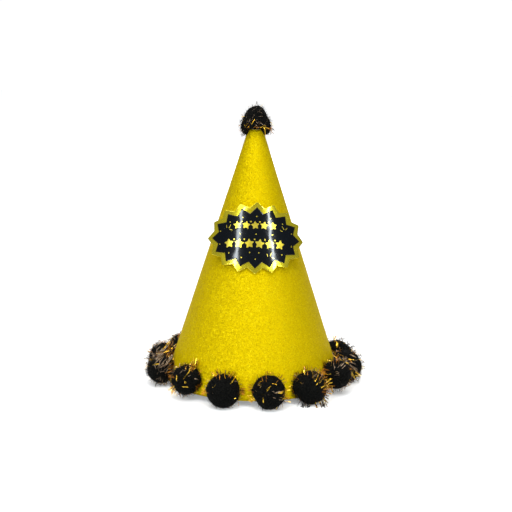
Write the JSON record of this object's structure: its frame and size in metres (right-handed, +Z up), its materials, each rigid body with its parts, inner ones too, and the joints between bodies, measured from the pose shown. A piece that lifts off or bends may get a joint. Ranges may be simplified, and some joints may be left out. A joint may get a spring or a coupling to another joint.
{
  "type": "party hat",
  "caption": "Cone-shaped glitter party hat ringed and tipped with tinsel pom-poms, with a burst-shaped badge on its front; worn on the head or stood on a table.",
  "frame": {"origin": "on the floor at the cone's axis, in the plane of the pom-poms' flat feet", "axes": "+Z up along the cone's axis to the tip, the badge faces -Y, +X to the right of someone facing the badge, the sheet's seam at +Y"},
  "size_m": [0.175, 0.1765, 0.2235],
  "materials": {
    "glitter_card": "yellow-gold glitter coating on card, sparkling",
    "plain_card": "matte uncoated white card",
    "paper_tape": "satin paper tape",
    "pompom_pile": "dense matte black pile with gold and copper tinsel strands",
    "tie_thread": "matte black thread",
    "hot_glue": "translucent hot-melt glue",
    "mirror_gold_card": "mirror-gold foil laminated on card",
    "gloss_black_card": "gloss-laminated blue-black card with gold foil motifs",
    "foam_pad": "matte white foam tape"
  },
  "bodies": {
    "root": {"badge_black_face": "gloss_black_card", "badge_foam_pad_lower": "foam_pad", "badge_foam_pad_upper": "foam_pad", "badge_gold_card": "mirror_gold_card", "cone_card_liner": "plain_card", "cone_glitter_cover": "glitter_card", "pompom_01": "pompom_pile", "pompom_01_glue": "hot_glue", "pompom_01_tie": "tie_thread", "pompom_02": "pompom_pile", "pompom_02_glue": "hot_glue", "pompom_02_tie": "tie_thread", "pompom_03": "pompom_pile", "pompom_03_glue": "hot_glue", "pompom_03_tie": "tie_thread", "pompom_04": "pompom_pile", "pompom_04_glue": "hot_glue", "pompom_04_tie": "tie_thread", "pompom_05": "pompom_pile", "pompom_05_glue": "hot_glue", "pompom_05_tie": "tie_thread", "pompom_06": "pompom_pile", "pompom_06_glue": "hot_glue", "pompom_06_tie": "tie_thread", "pompom_07": "pompom_pile", "pompom_07_glue": "hot_glue", "pompom_07_tie": "tie_thread", "pompom_08": "pompom_pile", "pompom_08_glue": "hot_glue", "pompom_08_tie": "tie_thread", "pompom_09": "pompom_pile", "pompom_09_glue": "hot_glue", "pompom_09_tie": "tie_thread", "pompom_10": "pompom_pile", "pompom_10_glue": "hot_glue", "pompom_10_tie": "tie_thread", "pompom_11": "pompom_pile", "pompom_11_glue": "hot_glue", "pompom_11_tie": "tie_thread", "pompom_12": "pompom_pile", "pompom_12_glue": "hot_glue", "pompom_12_tie": "tie_thread", "pompom_13": "pompom_pile", "pompom_13_glue": "hot_glue", "pompom_13_tie": "tie_thread", "pompom_14": "pompom_pile", "pompom_14_glue": "hot_glue", "pompom_14_tie": "tie_thread", "seam_tape": "paper_tape", "top_pompom": "pompom_pile", "top_pompom_glue": "hot_glue", "top_pompom_tie": "tie_thread"}
  },
  "joints": []
}
